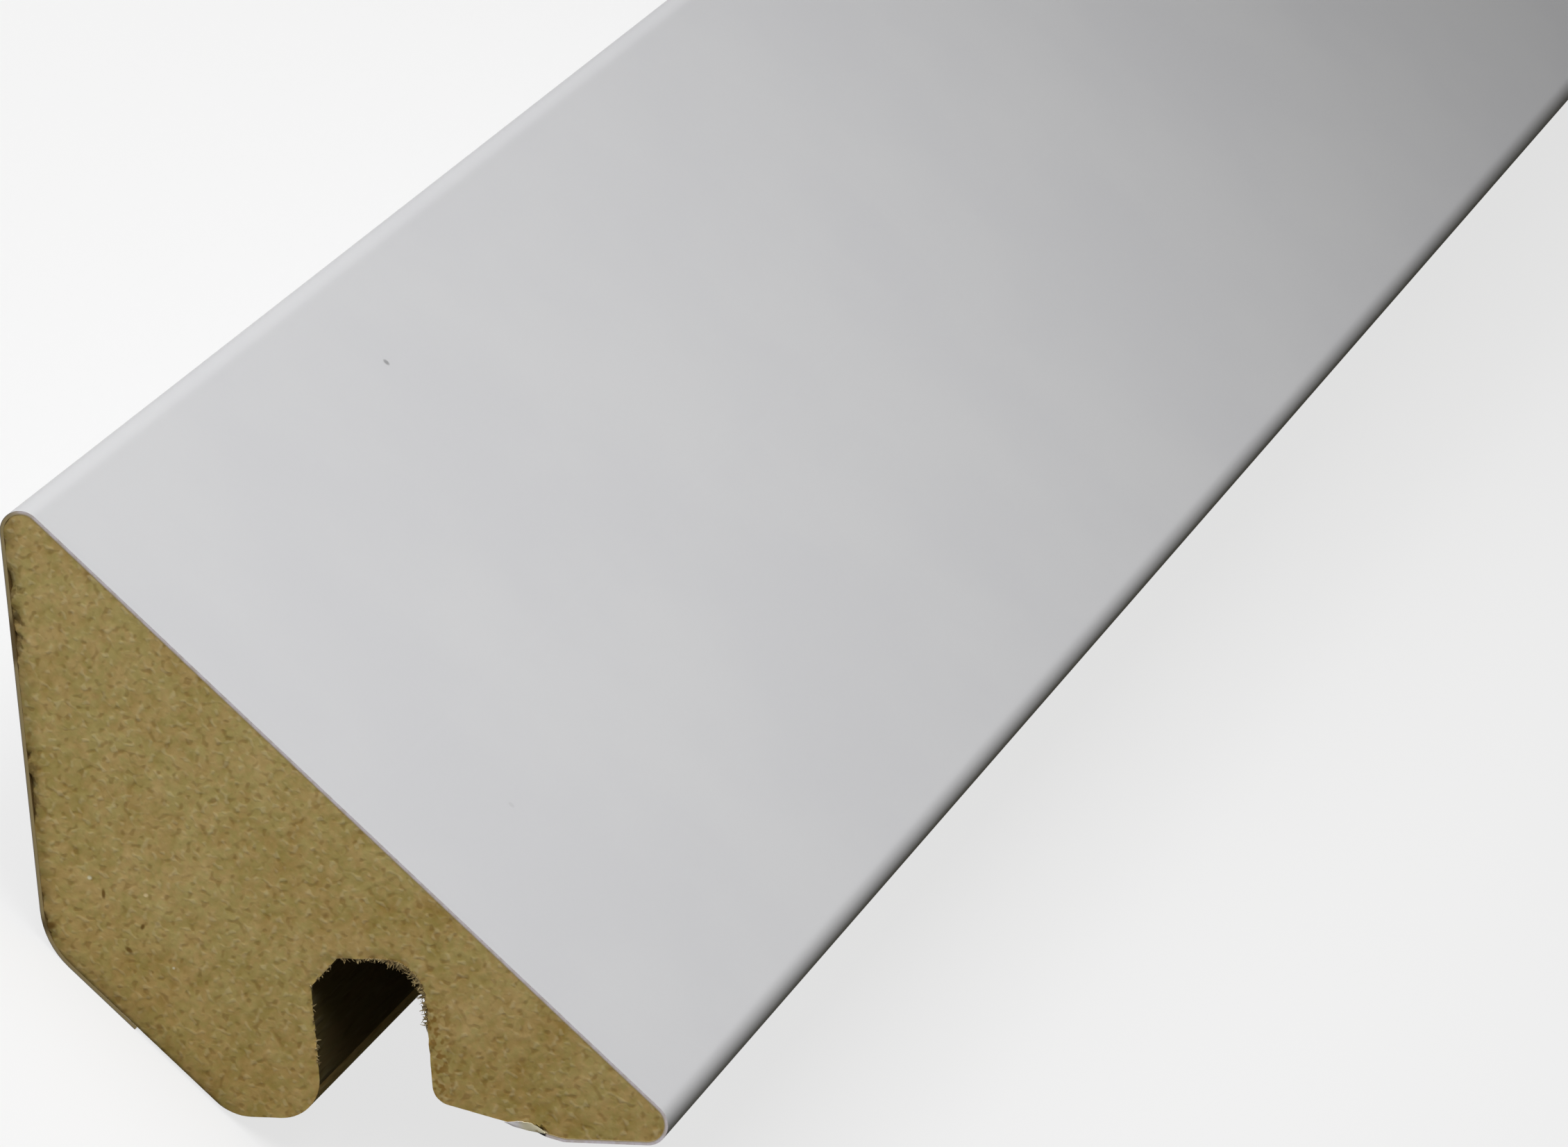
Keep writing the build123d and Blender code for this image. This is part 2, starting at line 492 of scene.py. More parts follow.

# %% [markdown]
# ## What the saw did to the ends, and the shade painted on them
# The blade marred the ends where it left the board: the edge along the plain side is darkened in
# patches, partly as crushing of the board and partly as painted shade in its nicks, and beside the
# groove brown crumbs stand loose. The edges along the back slope and the plain side are darkened all
# along as painted shade. A few pale chips of wood catch the light, and a few crumbs left dark pits.
# The whole cut is painted a little darker towards the back slope and the toe and a little lighter
# higher up, as painted shade and light. These are masks on the legs u and v of the section, laid
# over the fibres. The patches are listed once, because the nicks in the mesh follow them too.

# %% Patches and marks
NICK_PATCHES = (  # from and to along the plain side, and how strong
    (30.0 * MM, 36.0 * MM, 1.0),
    (20.0 * MM, 24.6 * MM, 0.8),
    (12.4 * MM, 13.9 * MM, 1.0),
    (14.0 * MM, 15.2 * MM, 0.5),
    (37.0 * MM, 39.4 * MM, 0.25),
)
PATCH_FADE = 0.8 * MM
QUIET_NICKS = 0.05
CREAM_CHIP = (0.98, 0.90, 0.62, 1.0)
AMBER_CHIP = (0.98, 0.78, 0.42, 1.0)
DARK_PIT = (0.20, 0.105, 0.020, 1.0)
MARKS = (  # u and v, half the length and width, way it lies, colour
    ((3.55 * MM, 16.33 * MM), (0.22 * MM, 0.19 * MM), radians(0.0), CREAM_CHIP),
    ((7.18 * MM, 15.28 * MM), (0.22 * MM, 0.18 * MM), radians(0.0), AMBER_CHIP),
    ((8.54 * MM, 10.55 * MM), (0.14 * MM, 0.12 * MM), radians(0.0), CREAM_CHIP),
    ((0.62 * MM, 13.12 * MM), (0.55 * MM, 0.38 * MM), radians(10.0), DARK_PIT),
    ((5.68 * MM, 11.65 * MM), (0.42 * MM, 0.23 * MM), radians(-43.0), DARK_PIT),
    ((4.37 * MM, 15.30 * MM), (0.46 * MM, 0.18 * MM), radians(88.0), DARK_PIT),
    ((6.75 * MM, 13.20 * MM), (0.30 * MM, 0.19 * MM), radians(62.0), DARK_PIT),
)
MARK_EDGE = (0.3, 1.0, 0.9, 0.0)  # shares of the half length, and the strength at each
SECTION_TURN = radians(45.0)  # of the legs u and v against Y and Z


def legs_in_nodes(tree, place):
    """The u and v of a place, as outputs."""
    axes = put(tree, "ShaderNodeSeparateXYZ", {0: place})
    height = sums(tree, "SUBTRACT", axes.outputs["Z"], corner_height)
    out = sums(tree, "DIVIDE", sums(tree, "ADD", height, axes.outputs["Y"]), sqrt(2))
    up = sums(tree, "DIVIDE", sums(tree, "SUBTRACT", height, axes.outputs["Y"]), sqrt(2))
    return out, up


def window(tree, value, low, high, fade):
    """1 between two values, fading out beyond them, as an output."""
    rise = ramp_between(tree, value, low - fade, low + fade)
    fall = ramp_between(tree, value, high - fade, high + fade, 1.0, 0.0)
    return times(tree, rise, fall)


def with_marks(tree, place, colour):
    """Lays the chips and pits over a colour."""
    for legs, (half_length, half_width), lying, mark_colour in MARKS:
        beside = tinted(tree, "SUBTRACT", place, (near_end, *on_section(*legs)))
        lengths = (half_width, half_length, half_width)
        drawn = turned(tree, beside, lying + SECTION_TURN, lengths)
        away = put(tree, "ShaderNodeVectorMath", {0: drawn}, operation="LENGTH").outputs["Value"]
        colour = blended(tree, ramp_between(tree, away, *MARK_EDGE), colour, mark_colour)
    return colour


print("patches:", len(NICK_PATCHES), "marks:", len(MARKS))

# %% Bruises and crumbs
# Dark patches along the plain side's edge: crushed board, with painted shade of the nicks in it.
BRUISE_AND_SHADE_COLOUR = (0.12, 0.072, 0.020, 1.0)
BRUISE_SHADE_LENGTHS = (1.0, 1.4, 1.0)
BRUISE_SHADE_GRAIN = (1.7, 2.0, 0.6)  # how many per mm, detail, roughness
BRUISE_SHADE_TONES = (0.36, 0.70)
BRUISE_SHADE_REACH = 1.0 * MM
BRUISE_SHADE_EDGE = (-0.55 * MM, 0.20 * MM, 0.65, 0.0)
CRUMB_COLOUR = (0.30, 0.150, 0.022, 1.0)
LOOSE_GRAIN = (1.9, 1.0)
LOOSE_TONES = (0.47, 0.60)
LOOSE_STRENGTH = 0.75
LOOSE_START = (-1.0 * MM, 0.0)  # outwards from the groove
LOOSE_END = (0.5 * MM, 2.3 * MM, 1.0, 0.0)
LOOSE_BAND = (2.4 * MM, 8.8 * MM, 1.0 * MM)  # from, to and fade along v


def bruised_and_shaded(tree, in_mm, u, v, colour):
    """Darkens the plain side's edge in its patches, as crushed board and as painted shade in its nicks.
    """
    patches = QUIET_NICKS
    for low, high, strength in NICK_PATCHES:
        patch = times(tree, window(tree, v, low, high, PATCH_FADE), strength)
        patches = sums(tree, "MAXIMUM", patches, patch)
    blots = noise(tree, turned(tree, in_mm, SECTION_TURN, BRUISE_SHADE_LENGTHS), *BRUISE_SHADE_GRAIN)
    reach = times(tree, ramp_between(tree, blots, *BRUISE_SHADE_TONES), BRUISE_SHADE_REACH, patches)
    inward = sums(tree, "SUBTRACT", u, foil_thickness)
    bruise_and_shade = ramp_between(tree, sums(tree, "SUBTRACT", inward, reach), *BRUISE_SHADE_EDGE)
    return blended(tree, bruise_and_shade, colour, BRUISE_AND_SHADE_COLOUR)


def crumbled(tree, in_mm, u, v, colour):
    """Lays loose brown crumbs beside the groove."""
    outwards = sums(tree, "SUBTRACT", u, groove_far)
    start = ramp_between(tree, outwards, *LOOSE_START)
    end = ramp_between(tree, outwards, *LOOSE_END)
    loose = ramp_between(tree, noise(tree, in_mm, *LOOSE_GRAIN), *LOOSE_TONES)
    share = times(tree, end, window(tree, v, *LOOSE_BAND), start, loose, LOOSE_STRENGTH)
    return blended(tree, share, colour, CRUMB_COLOUR)


print("bruise reach:", BRUISE_SHADE_REACH)

# %% Sawn board
SAWN = ((MM_PER_METRE, MM_PER_METRE, MM_PER_METRE), 0.955, 0.42, 0.07 * MM)
# Painted shade: the end is darkened along the back slope's edge and along the plain side's edge.
BACK_SHADES = ((1.8 * MM, 0.80), (0.30 * MM, 0.45))  # height over the back slope, tone at its foot
SIDE_SHADE = (0.2 * MM, 1.5 * MM, 0.74, 1.0)
# Painted shade and light: darker towards the back slope and the toe, lighter higher up.
LOW_PAINTED_SHADE = (0.965, 0.950, 0.925, 1.0)
HIGH_PAINTED_LIGHT = (1.025, 1.033, 1.020, 1.0)
PAINTED_SHADE_UP = (4.0 * MM, 22.0 * MM)  # along v
BACK_PAINTED_SHADE = (0.945, 0.925, 0.850, 1.0)
FACE_PAINTED_LIGHT = (1.012, 1.017, 1.035, 1.0)
PAINTED_SHADE_THROUGH = (0.0, 9.0 * MM)  # height


def saw_wear_and_shade(tree, place, colour):
    """Lays painted shade, bruises with painted shade, crumbs and marks over the colour of a sawn end."""
    u, v = legs_in_nodes(tree, place)
    height = put(tree, "ShaderNodeSeparateXYZ", {0: place}).outputs["Z"]
    in_mm = tinted(tree, "SCALE", place, MM_PER_METRE)
    shade = ramp_between(tree, u, *SIDE_SHADE)
    for reach, tone in BACK_SHADES:
        foot = ramp_between(tree, height, core_low.z, core_low.z + reach, tone, 1.0)
        shade = times(tree, shade, foot)
    colour = tinted(tree, "SCALE", colour, shade)
    up_painted_shade = blended(tree, ramp_between(tree, v, *PAINTED_SHADE_UP), LOW_PAINTED_SHADE, HIGH_PAINTED_LIGHT)
    through_painted_shade = blended(tree, ramp_between(tree, height, *PAINTED_SHADE_THROUGH), BACK_PAINTED_SHADE, FACE_PAINTED_LIGHT)
    for painted_tone in (up_painted_shade, through_painted_shade):
        colour = tinted(tree, "MULTIPLY", colour, painted_tone)
    colour = bruised_and_shaded(tree, in_mm, u, v, colour)
    colour = crumbled(tree, in_mm, u, v, colour)
    return with_marks(tree, place, colour)


sawn_board = board_material("sawn_board", *SAWN, saw_wear_and_shade)
print("sawn finish:", sawn_board.name)

# %% Loose fibres
FIBRE_DARK = (0.26, 0.18, 0.07, 1.0)
FIBRE_PALE = (0.50, 0.40, 0.20, 1.0)
FIBRE_GRAIN = 900.0
FIBRE_TONES = (0.3, 0.7)
FIBRE_ROUGHNESS = 0.8

loose_fibre, tree = new_material("loose_fibre")
fibre_tone = ramp_between(tree, noise(tree, object_place(tree), FIBRE_GRAIN), *FIBRE_TONES)
fibre_colour = blended(tree, fibre_tone, FIBRE_DARK, FIBRE_PALE)
close_material(tree, {"Base Color": fibre_colour, "Roughness": FIBRE_ROUGHNESS})
print("loose fibre nodes:", len(tree.nodes))

# %% [markdown]
# ## The foil
# The foil is a printed white film with a dull satin face. Up close it has a very fine leather-like
# grain from the embossing roller, and it lets the board telegraph through a little, so the face is
# not perfectly flat. It also caught two small specks. Its cut edge is pale along the face, and dusty
# brown along the plain side and the back, darker towards its outer face there. In patches along the
# plain side it is darkened, partly as crushing and partly as painted shade, and where it is torn it
# is painted near black as the shadow of the gap. Its back carries glue and fibres.

# %% White foil
FOIL_WHITE = (0.700, 0.702, 0.715, 1.0)
FOIL_DULLER = (0.680, 0.682, 0.700, 1.0)
SPECK_COLOUR = (0.25, 0.25, 0.26, 1.0)
SPECKS = (  # place, size, strength
    ((1.1501, -0.0199, 0.0213), 0.34 * MM, 0.75),
    ((1.1842, 0.0067, 0.0213), 0.30 * MM, 0.16),
)
SPECK_CORE = 0.4
CLOUD_GRAIN = (45.0, 3.0)  # how many per metre, detail
CLOUD_TONES = (0.35, 0.65)
EMBOSSING = 4200.0
TELEGRAPH = 120.0
EMBOSSING_SHARE = 0.12
FOIL_ROUGHNESS = (0.2, 0.8, 0.42, 0.52)
FOIL_GLOSS = 0.4
FOIL_BUMP = {"Strength": 0.25, "Distance": 0.03 * MM}

white_foil, tree = new_material("white_foil")
place = object_place(tree)
cloudy = ramp_between(tree, noise(tree, place, *CLOUD_GRAIN), *CLOUD_TONES)
foil_colour = blended(tree, cloudy, FOIL_WHITE, FOIL_DULLER)
for speck_place, size, strength in SPECKS:
    feeds = {0: place, 1: speck_place}
    away = put(tree, "ShaderNodeVectorMath", feeds, operation="DISTANCE").outputs["Value"]
    speck = ramp_between(tree, away, size * SPECK_CORE, size, strength, 0.0)
    foil_colour = blended(tree, speck, foil_colour, SPECK_COLOUR)
grain = noise(tree, place, EMBOSSING)
foil_height = sums(tree, "ADD", times(tree, grain, EMBOSSING_SHARE), noise(tree, place, TELEGRAPH))
close_material(
    tree,
    {
        "Base Color": foil_colour,
        "Roughness": ramp_between(tree, grain, *FOIL_ROUGHNESS),
        "Specular IOR Level": FOIL_GLOSS,
        "Normal": put(tree, "ShaderNodeBump", {"Height": foil_height} | FOIL_BUMP).outputs[0],
    },
)
print("white foil nodes:", len(tree.nodes))

# %% Cut edge of the foil
RIM_WHITE = (0.92, 0.85, 0.91, 1.0)
RIM_DUST = (0.48, 0.36, 0.14, 1.0)
RIM_BROWN = (0.44, 0.340, 0.158, 1.0)
RIM_OUTER_DARK = (0.27, 0.24, 0.20, 1.0)
TORN_GAP_SHADOW = (0.030, 0.026, 0.018, 1.0)
CRUSHED_SHADED_RIM = ((30.2 * MM, 33.0 * MM), (12.6 * MM, 13.6 * MM))  # from and to along the plain side
CRUSH_SHADE_FADE = 0.4 * MM
WALL_ATTRIBUTE = "through_wall"  # 0 on the glued face of the foil, 1 on its outer face
CRUSH_SHADE_STRENGTH = 0.8
CLEAN_OUT = (0.6 * MM, 1.8 * MM)  # along u
CLEAN_UP = (1.0 * MM, 3.0 * MM)  # height
DUST_GRAIN = (1600.0, 3.0)
DUST_TONES = (0.40, 0.65, 1.0, 0.7)
DARKER_OUTER_WALL = (0.5, 1.1)  # shares of the way through the wall
PALE_WALL = (-0.1, 0.6)
DUSTY = (0.0, 0.5)
TORN_OUT = (30.0 * MM, 32.0 * MM, 0.1 * MM)  # from, to and fade along u
TORN_UP = (2.0 * MM, 3.0 * MM, 1.0, 0.0)  # along v
RIM_ROUGHNESS = 0.7

cut_foil, tree = new_material("cut_foil_edge")
place = object_place(tree)
through = put(tree, "ShaderNodeAttribute", attribute_name=WALL_ATTRIBUTE).outputs["Fac"]
u, v = legs_in_nodes(tree, place)
height = put(tree, "ShaderNodeSeparateXYZ", {0: place}).outputs["Z"]
dust = ramp_between(tree, noise(tree, place, *DUST_GRAIN), *DUST_TONES)
clean = times(tree, ramp_between(tree, u, *CLEAN_OUT), ramp_between(tree, height, *CLEAN_UP), dust)
# The wall is darker towards its outer face, along the plain side and the back.
rim_colour = blended(tree, ramp_between(tree, through, *DARKER_OUTER_WALL), RIM_BROWN, RIM_OUTER_DARK)
# The rim's crushed patches are darkened partly as crushing and partly as painted shade.
for low, high in CRUSHED_SHADED_RIM:
    crush_and_shade = times(tree, window(tree, v, low, high, CRUSH_SHADE_FADE), CRUSH_SHADE_STRENGTH)
    rim_colour = blended(tree, crush_and_shade, rim_colour, BRUISE_AND_SHADE_COLOUR)
rim_colour = blended(tree, ramp_between(tree, clean, *DUSTY), rim_colour, RIM_DUST)
outer = times(tree, ramp_between(tree, through, *PALE_WALL), clean)
rim_colour = blended(tree, outer, rim_colour, RIM_WHITE)
# Painted shadow: the torn rim under the flap is painted near black.
torn = times(tree, window(tree, u, *TORN_OUT), ramp_between(tree, v, *TORN_UP))
rim_colour = blended(tree, torn, rim_colour, TORN_GAP_SHADOW)
close_material(tree, {"Base Color": rim_colour, "Roughness": RIM_ROUGHNESS})
print("cut edge nodes:", len(tree.nodes))

# %% Glued back of the foil
GLUE_WHITE = (0.97, 0.93, 0.94, 1.0)
GLUE_CREAM = (0.97, 0.90, 0.64, 1.0)
CREAM_OUT = (30.1 * MM, 30.8 * MM)  # along u
STUCK_FIBRES = (0.66, 0.54, 0.30, 1.0)
STUCK_GRAIN = (1900.0, 3.0)
STUCK_TONES = (0.54, 0.74)
GLUE_BROWN = (0.26, 0.175, 0.060, 1.0)
BROWN_OUT = (2.0 * MM, 8.0 * MM, 1.0, 0.0)  # along u
BACK_ROUGHNESS = 0.75

glued_foil, tree = new_material("glued_foil_back")
place = object_place(tree)
u = legs_in_nodes(tree, place)[0]
back_colour = blended(tree, ramp_between(tree, u, *CREAM_OUT), GLUE_WHITE, GLUE_CREAM)
stuck = ramp_between(tree, noise(tree, place, *STUCK_GRAIN), *STUCK_TONES)
back_colour = blended(tree, stuck, back_colour, STUCK_FIBRES)
back_colour = blended(tree, ramp_between(tree, u, *BROWN_OUT), back_colour, GLUE_BROWN)
close_material(tree, {"Base Color": back_colour, "Roughness": BACK_ROUGHNESS})
print("foil finishes:", white_foil.name, cut_foil.name, glued_foil.name)

# %% [markdown]
# ## Drawing a rounded outline
# The section is drawn as with a pen. A plane is added and merged to a single point, then the point
# is extruded for every straight and spun for every rounded corner, so each arc is a true arc with
# evenly spaced points. A bevel on a finished block could round it too, but it would not hit the
# different radii so exactly. Both pieces are drawn by the same helper, so they fit together.

# %% The outline helper
ARC_STEP = radians(6.0)
SMALLEST_STEP = 0.001 * MM


def pick(*pieces):
    """Selects only these pieces, with the last of them as the active one."""
    bpy.ops.object.select_all(action="DESELECT")
    for piece in pieces:
        piece.select_set(True)
        bpy.context.view_layer.objects.active = piece


def draw_line(pen, target):
    """Extrudes the point in hand to a target in the plane of the section."""
    step = target - pen
    if step.length > SMALLEST_STEP:
        bpy.ops.mesh.extrude_region_move(TRANSFORM_OT_translate={"value": (0.0, step.x, step.y)})
    return target


def draw_section(name, corners, radii):
    """Starts a piece with the outline through the corners, at the near end, and stays in edit mode."""
    bpy.ops.mesh.primitive_plane_add(size=MM, location=(near_end, *corners[0]))
    piece = bpy.context.active_object
    piece.name = name
    piece.data.name = name
    bpy.ops.object.transform_apply(location=True, rotation=True, scale=True)
    bpy.ops.object.mode_set(mode="EDIT")
    bpy.ops.mesh.select_mode(type="VERT")
    bpy.ops.mesh.select_all(action="SELECT")
    bpy.ops.mesh.merge(type="COLLAPSE")
    pen = corners[0]
    for before, corner, after, radius in zip(corners, corners[1:], corners[2:], radii):
        way_in = (corner - before).normalized()
        way_out = (after - corner).normalized()
        turn = atan2(way_in.cross(way_out), way_in.dot(way_out))
        reach = radius * tan(abs(turn) / 2)
        pen = draw_line(pen, corner - way_in * reach)
        if radius:
            centre = pen + Vector((-way_in.y, way_in.x)) * copysign(radius, turn)
            steps = ceil(abs(turn) / ARC_STEP)
            bpy.ops.mesh.spin(steps=steps, angle=-turn, center=(near_end, *centre), axis=(1.0, 0.0, 0.0))
            pen = corner + way_out * reach
    draw_line(pen, corners[-1])
    return piece


def cut_across(places, way):
    """Cuts what shows of the mesh in edit mode by planes square to a way."""
    for place in places:
        bpy.ops.mesh.select_all(action="SELECT")
        bpy.ops.mesh.bisect(plane_co=way * place, plane_no=way)


ALONG = Vector((1.0, 0.0, 0.0))
ACROSS = Vector((0.0, 1.0, 0.0))
UPWARD = Vector((0.0, 0.0, 1.0))
print("arc step:", ARC_STEP)

# %% [markdown]
# ## The board
# The core is a board ripped to a wedge, with a heel and a relief on the grooved side so that only
# the toe touches the ceiling, and the groove between them. Drawn once, filled and extruded, it is
# finished but for its ends. The last millimetres get extra rings, to keep later dents local.

# %% Board outline and length
groove_far_corner = on_section(groove_far, GROOVE_DEPTH)
chamfer_top = on_section(groove_near + GROOVE_CHAMFER, GROOVE_DEPTH)
chamfer_foot = on_section(groove_near, GROOVE_DEPTH - GROOVE_CHAMFER)
wrap_corners = [foil_back_end, back_corner, top_tip, toe_tip, toe_edge]
wrap_radii = [BACK_CORNER_RADIUS, core_tip_radius, core_tip_radius, TOE_EDGE_RADIUS]
board_corners = [*wrap_corners, toe_lip, groove_far_corner, chamfer_top, chamfer_foot]
board_corners += [heel_lip, heel, foil_back_end]
board_radii = [*wrap_radii, TOE_LIP_RADIUS, GROOVE_RADIUS, 0.0, 0.0, HEEL_LIP_RADIUS, HEEL_RADIUS]
END_RINGS = (2.5 * MM, 10.0 * MM, 40.0 * MM, 160.0 * MM)

board = draw_section("mdf_body", board_corners, board_radii)
bpy.ops.mesh.select_all(action="SELECT")
bpy.ops.mesh.remove_doubles(threshold=SMALLEST_STEP)
bpy.ops.mesh.edge_face_add()
bpy.ops.mesh.extrude_region_move(TRANSFORM_OT_translate={"value": (far_end - near_end, 0.0, 0.0)})
bpy.ops.mesh.select_all(action="SELECT")
bpy.ops.mesh.normals_make_consistent(inside=False)
cut_across([near_end - ring for ring in END_RINGS], ALONG)
cut_across([far_end + ring for ring in END_RINGS], ALONG)
bpy.ops.object.mode_set(mode="OBJECT")
for finish in (milled_board, sawn_board, loose_fibre, groove_shaded_board):
    board.data.materials.append(finish)
print("board points:", len(board.data.vertices))

# %% [markdown]
# ## The sawn ends
# A saw leaves board ends a little rough, breaks out the edges and tears fibres into the groove.
# Roughness that can be seen from the side has to be in the mesh, so each end is cut into a fine grid
# and pushed in by Displace modifiers. Vertex groups say how strongly each dent acts and where.

# %% Grid on the ends
import bmesh

GRID_STEP = 0.24 * MM
END_NORMAL = 0.5  # least X of the normal of a face on an end
SAWN_SLOT = 1


def show_only(piece, wanted):
    """In edit mode, hides every face but those whose normal passes a test."""
    bpy.ops.mesh.select_mode(type="FACE")
    bpy.ops.mesh.select_all(action="DESELECT")
    shape = bmesh.from_edit_mesh(piece.data)
    for face in shape.faces:
        face.select_set(wanted(face.normal))
    bmesh.update_edit_mesh(piece.data)
    bpy.ops.mesh.hide(unselected=True)


def steps_between(low, high, step):
    """Evenly spaced places inside a range."""
    count = ceil((high - low) / step)
    return [low + (high - low) * number / count for number in range(1, count)]


pick(board)
bpy.ops.object.mode_set(mode="EDIT")
show_only(board, lambda normal: abs(normal.x) > END_NORMAL)
bpy.context.object.active_material_index = SAWN_SLOT
bpy.ops.mesh.select_all(action="SELECT")
bpy.ops.object.material_slot_assign()
cut_across(steps_between(core_low.y, core_high.y, GRID_STEP), ACROSS)
cut_across(steps_between(core_low.z, core_high.z, GRID_STEP), UPWARD)
bpy.ops.mesh.reveal(select=False)
bpy.ops.object.mode_set(mode="OBJECT")
print("board faces with gridded ends:", len(board.data.polygons))

# %% Groove walls
GROOVE_SLOT = 3
GROOVE_LIP = 2.0 * MM
WALL_BAND = (-0.5 * MM, 0.05 * MM)  # gaps to the groove's outline


def groove_gap(point):
    """How far a point of the section is outside the groove's outline."""
    u, v = legs_of(point)
    half_width = GROOVE_WIDTH / 2
    out_u = abs(u - groove_near - half_width) - half_width + GROOVE_RADIUS
    out_v = v - GROOVE_DEPTH + GROOVE_RADIUS
    outside = sqrt(max(out_u, 0.0) ** 2 + max(out_v, 0.0) ** 2)
    return outside + min(max(out_u, out_v), 0.0) - GROOVE_RADIUS


# These walls get the board darkened with painted shade.
for side in board.data.polygons:
    on_wall = abs(side.normal.x) < END_NORMAL
    on_wall = on_wall and WALL_BAND[0] < groove_gap(side.center) < WALL_BAND[1]
    if on_wall and legs_of(side.center)[1] > GROOVE_LIP:
        side.material_index = GROOVE_SLOT
print("groove faces:", sum(side.material_index == GROOVE_SLOT for side in board.data.polygons))

# %% Dents of the saw
END_SKIN = 0.5 * MM
LEAST_WEIGHT = 0.01
SAW_ROUGHNESS = 0.05 * MM
SAW_MIDDLE = 0.2
SAW_CLOUDS = (0.5 * MM, 1.0, 1.0)  # size, contrast, brightness
NICK_DEPTH = 0.5 * MM
NICK_REACH = 0.6 * MM
NICK_CLOUDS = (0.95 * MM, 3.6, 0.85)
PULL_DEPTH = 0.16 * MM
PULL_REACH = 0.5 * MM
PULL_RISE = (3.0 * MM, 6.0 * MM)  # along v
PULL_LEAST = 0.15
PULL_CLOUDS = (0.4 * MM, 2.2, 1.0)


def cloud_texture(name, size, contrast, brightness):
    """A soft lumpy texture for a Displace modifier."""
    clouds = bpy.data.textures.new(name, "CLOUDS")
    clouds.noise_scale = size
    clouds.noise_depth = 2
    clouds.contrast = contrast
    clouds.intensity = brightness
    clouds.use_clamp = True
    return clouds


def dent(piece, name, weigh, texture, way, strength, middle=0.0):
    """Moves points along one way, by a texture and by weights worked out from their places."""
    group = piece.vertex_groups.new(name=name)
    for point in piece.data.vertices:
        weight = weigh(point.co)
        if weight > LEAST_WEIGHT:
            group.add([point.index], min(weight, 1.0), "REPLACE")
    pick(piece)
    press = piece.modifiers.new(name, "DISPLACE")
    press.vertex_group = name
    press.direction = way
    press.texture = texture
    press.texture_coords = "LOCAL"
    press.strength = strength
    press.mid_level = middle
    bpy.ops.object.modifier_apply(modifier=name)
    piece.vertex_groups.remove(piece.vertex_groups[name])


def at_end(end):
    """A test for points of one end face."""
    return lambda point: 1.0 if abs(point.x - end) < END_SKIN else 0.0


def patch_strength(v):
    """How strongly the saw nicked the plain side's edge at a height."""
    strength = QUIET_NICKS
    for low, high, most in NICK_PATCHES:
        inside = min(v - low, high - v) / PATCH_FADE + 0.5
        strength = max(strength, most * min(max(inside, 0.0), 1.0))
    return strength


def plain_side_weight(end):
    """Strong along the plain side's edge of one end, fading inwards."""
    near = at_end(end)

    def weigh(point):
        u, v = legs_of(point)
        inside = max(0.0, 1.0 - (u - foil_thickness) / NICK_REACH)
        return near(point) * patch_strength(v) * inside

    return weigh


def groove_edge_weight(end):
    """Strong round the groove's upper half on one end, fading outwards."""
    near = at_end(end)

    def weigh(point):
        low, full = PULL_RISE
        high = min(max((legs_of(point)[1] - low) / (full - low), PULL_LEAST), 1.0)
        return near(point) * high * max(0.0, 1.0 - groove_gap(point) / PULL_REACH)

    return weigh


for end, sign, label in ((near_end, -1.0, "near"), (far_end, 1.0, "far")):
    fine = cloud_texture(f"saw_{label}", *SAW_CLOUDS)
    nicks = cloud_texture(f"nicks_{label}", *NICK_CLOUDS)
    pulls = cloud_texture(f"pulls_{label}", *PULL_CLOUDS)
    dent(board, f"saw_{label}", at_end(end), fine, "X", sign * SAW_ROUGHNESS, SAW_MIDDLE)
    dent(board, f"nicks_{label}", plain_side_weight(end), nicks, "X", sign * NICK_DEPTH)
    dent(board, f"pulls_{label}", groove_edge_weight(end), pulls, "X", sign * PULL_DEPTH)
print("end dents done, board box:", board.dimensions[:])

# %% [markdown]
# ## The chip at the toe
# Beside the toe the saw broke a crumb of board away behind the foil, which leaves a dark gap. It could
# be cut away with a boolean, but it is one more dent: its weight is full at the edge of the relief and
# gone a few tenths of a millimetre above it.

# %% Chip
CHIP_DEPTH = 1.1 * MM
CHIP_START = 1.6 * MM
CHIP_LENGTH = 1.2 * MM
CHIP_HEIGHT = 0.14 * MM
CHIP_LEAST = 0.6
CHIP_ENDS = (3.0, 2.0)  # how steeply it grows from each end
CHIP_CLOUDS = (0.4 * MM, 1.2, 1.3)


def chip_weight(point):
    """Full at the relief's edge over the length of the chip, fading upwards and to both sides."""
    from_toe = Vector((point.y, point.z)) - toe_edge
    share = (FOIL_ON_RELIEF - from_toe.dot(relief_way) - CHIP_START) / CHIP_LENGTH
    if abs(point.x - near_end) > END_SKIN or not 0.0 < share < 1.0:
        return 0.0
    bow = min(1.0, CHIP_ENDS[0] * share, CHIP_ENDS[1] * (1.0 - share))
    above = abs(from_toe.cross(relief_way)) / (CHIP_HEIGHT * (CHIP_LEAST + bow))
    return sqrt(max(0.0, 1.0 - above)) * bow


crumbly = cloud_texture("crumbly", *CHIP_CLOUDS)
dent(board, "chip", chip_weight, crumbly, "X", -CHIP_DEPTH)
print("chip depth:", CHIP_DEPTH)

# %% [markdown]
# ## Torn fibres in the groove
# Round the groove the saw pulled fibres out instead of cutting them, and they stand into the opening
# as a ragged fringe, densest at the rounded corner. One fibre is modelled: a thin cone with four
# sides, cut across the middle and bent at its tip. Its copies, each with its own mesh, are stretched,
# turned and set along the groove's edge by a seeded random draw, and joined to the board.

# %% One torn fibre
FIBRE_LENGTH = 1.0 * MM
FIBRE_FOOT = 0.07 * MM
FIBRE_TIP = 0.012 * MM
FIBRE_BEND = 0.18 * MM
FIBRE_KNEE = 0.55 * FIBRE_LENGTH
TIP_FROM = 0.9 * FIBRE_LENGTH

